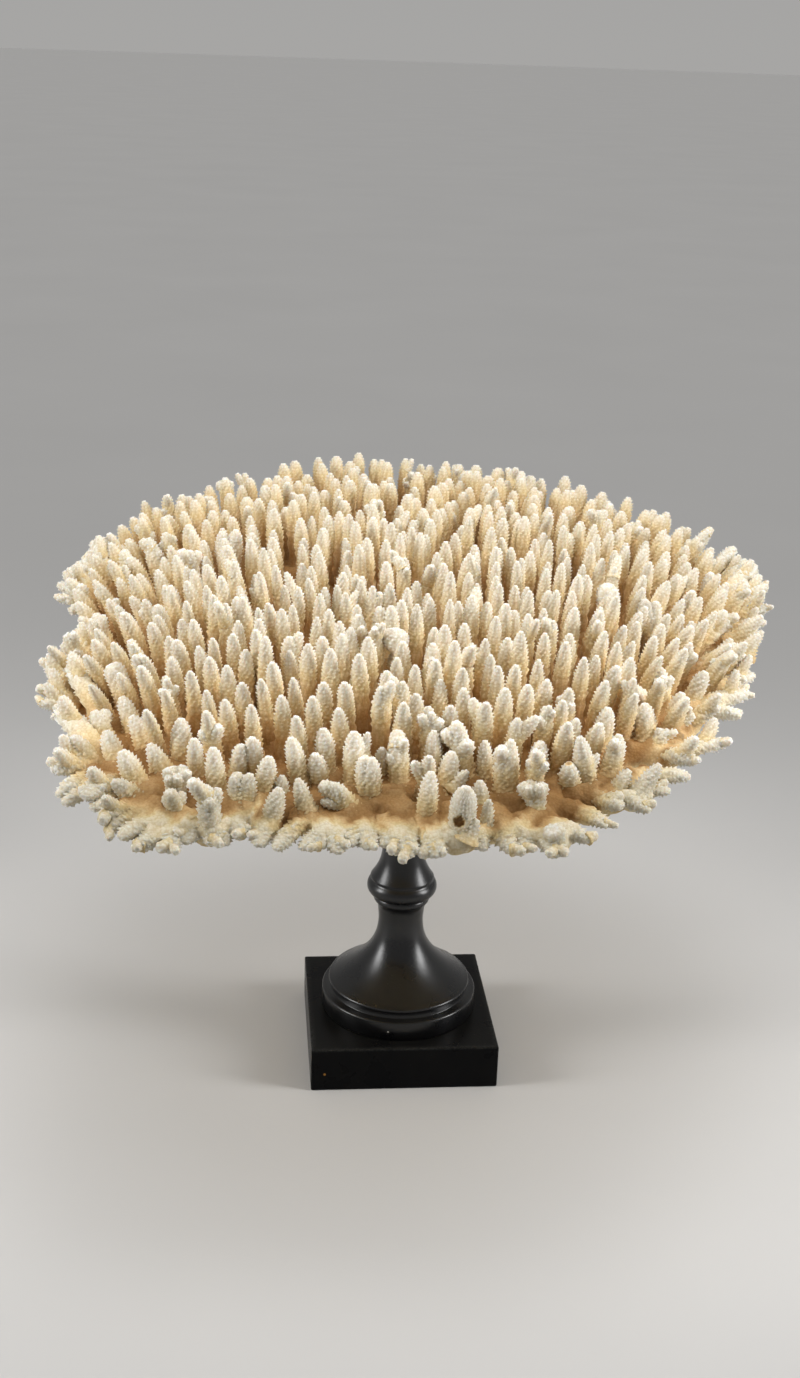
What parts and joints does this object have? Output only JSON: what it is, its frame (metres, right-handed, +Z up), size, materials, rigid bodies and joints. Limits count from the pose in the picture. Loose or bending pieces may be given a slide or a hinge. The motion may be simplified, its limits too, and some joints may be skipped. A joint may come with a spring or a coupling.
{
  "type": "table coral on pedestal",
  "caption": "White table coral colony with upright branchlets on a fused plate, mounted on a black turned pedestal with a square plinth.",
  "frame": {"origin": "middle of the plinth's flat underside, where the part stands", "axes": "+Z up, -Y towards the front of the colony, +X to the right seen from the front"},
  "size_m": [0.3777, 0.3808, 0.2926],
  "materials": {
    "black_lacquer": "satin",
    "pin_steel": "satin",
    "coral_skeleton": "matte"
  },
  "bodies": {
    "root": {"plinth": "black_lacquer", "column": "black_lacquer", "mounting_pin": "pin_steel", "coral_stalk": "coral_skeleton", "coral_fan_front": "coral_skeleton", "coral_fan_front_right": "coral_skeleton", "coral_fan_right": "coral_skeleton", "coral_fan_back_right": "coral_skeleton", "coral_fan_back": "coral_skeleton", "coral_fan_back_left": "coral_skeleton", "coral_fan_left": "coral_skeleton", "coral_fan_front_left": "coral_skeleton"}
  },
  "joints": []
}
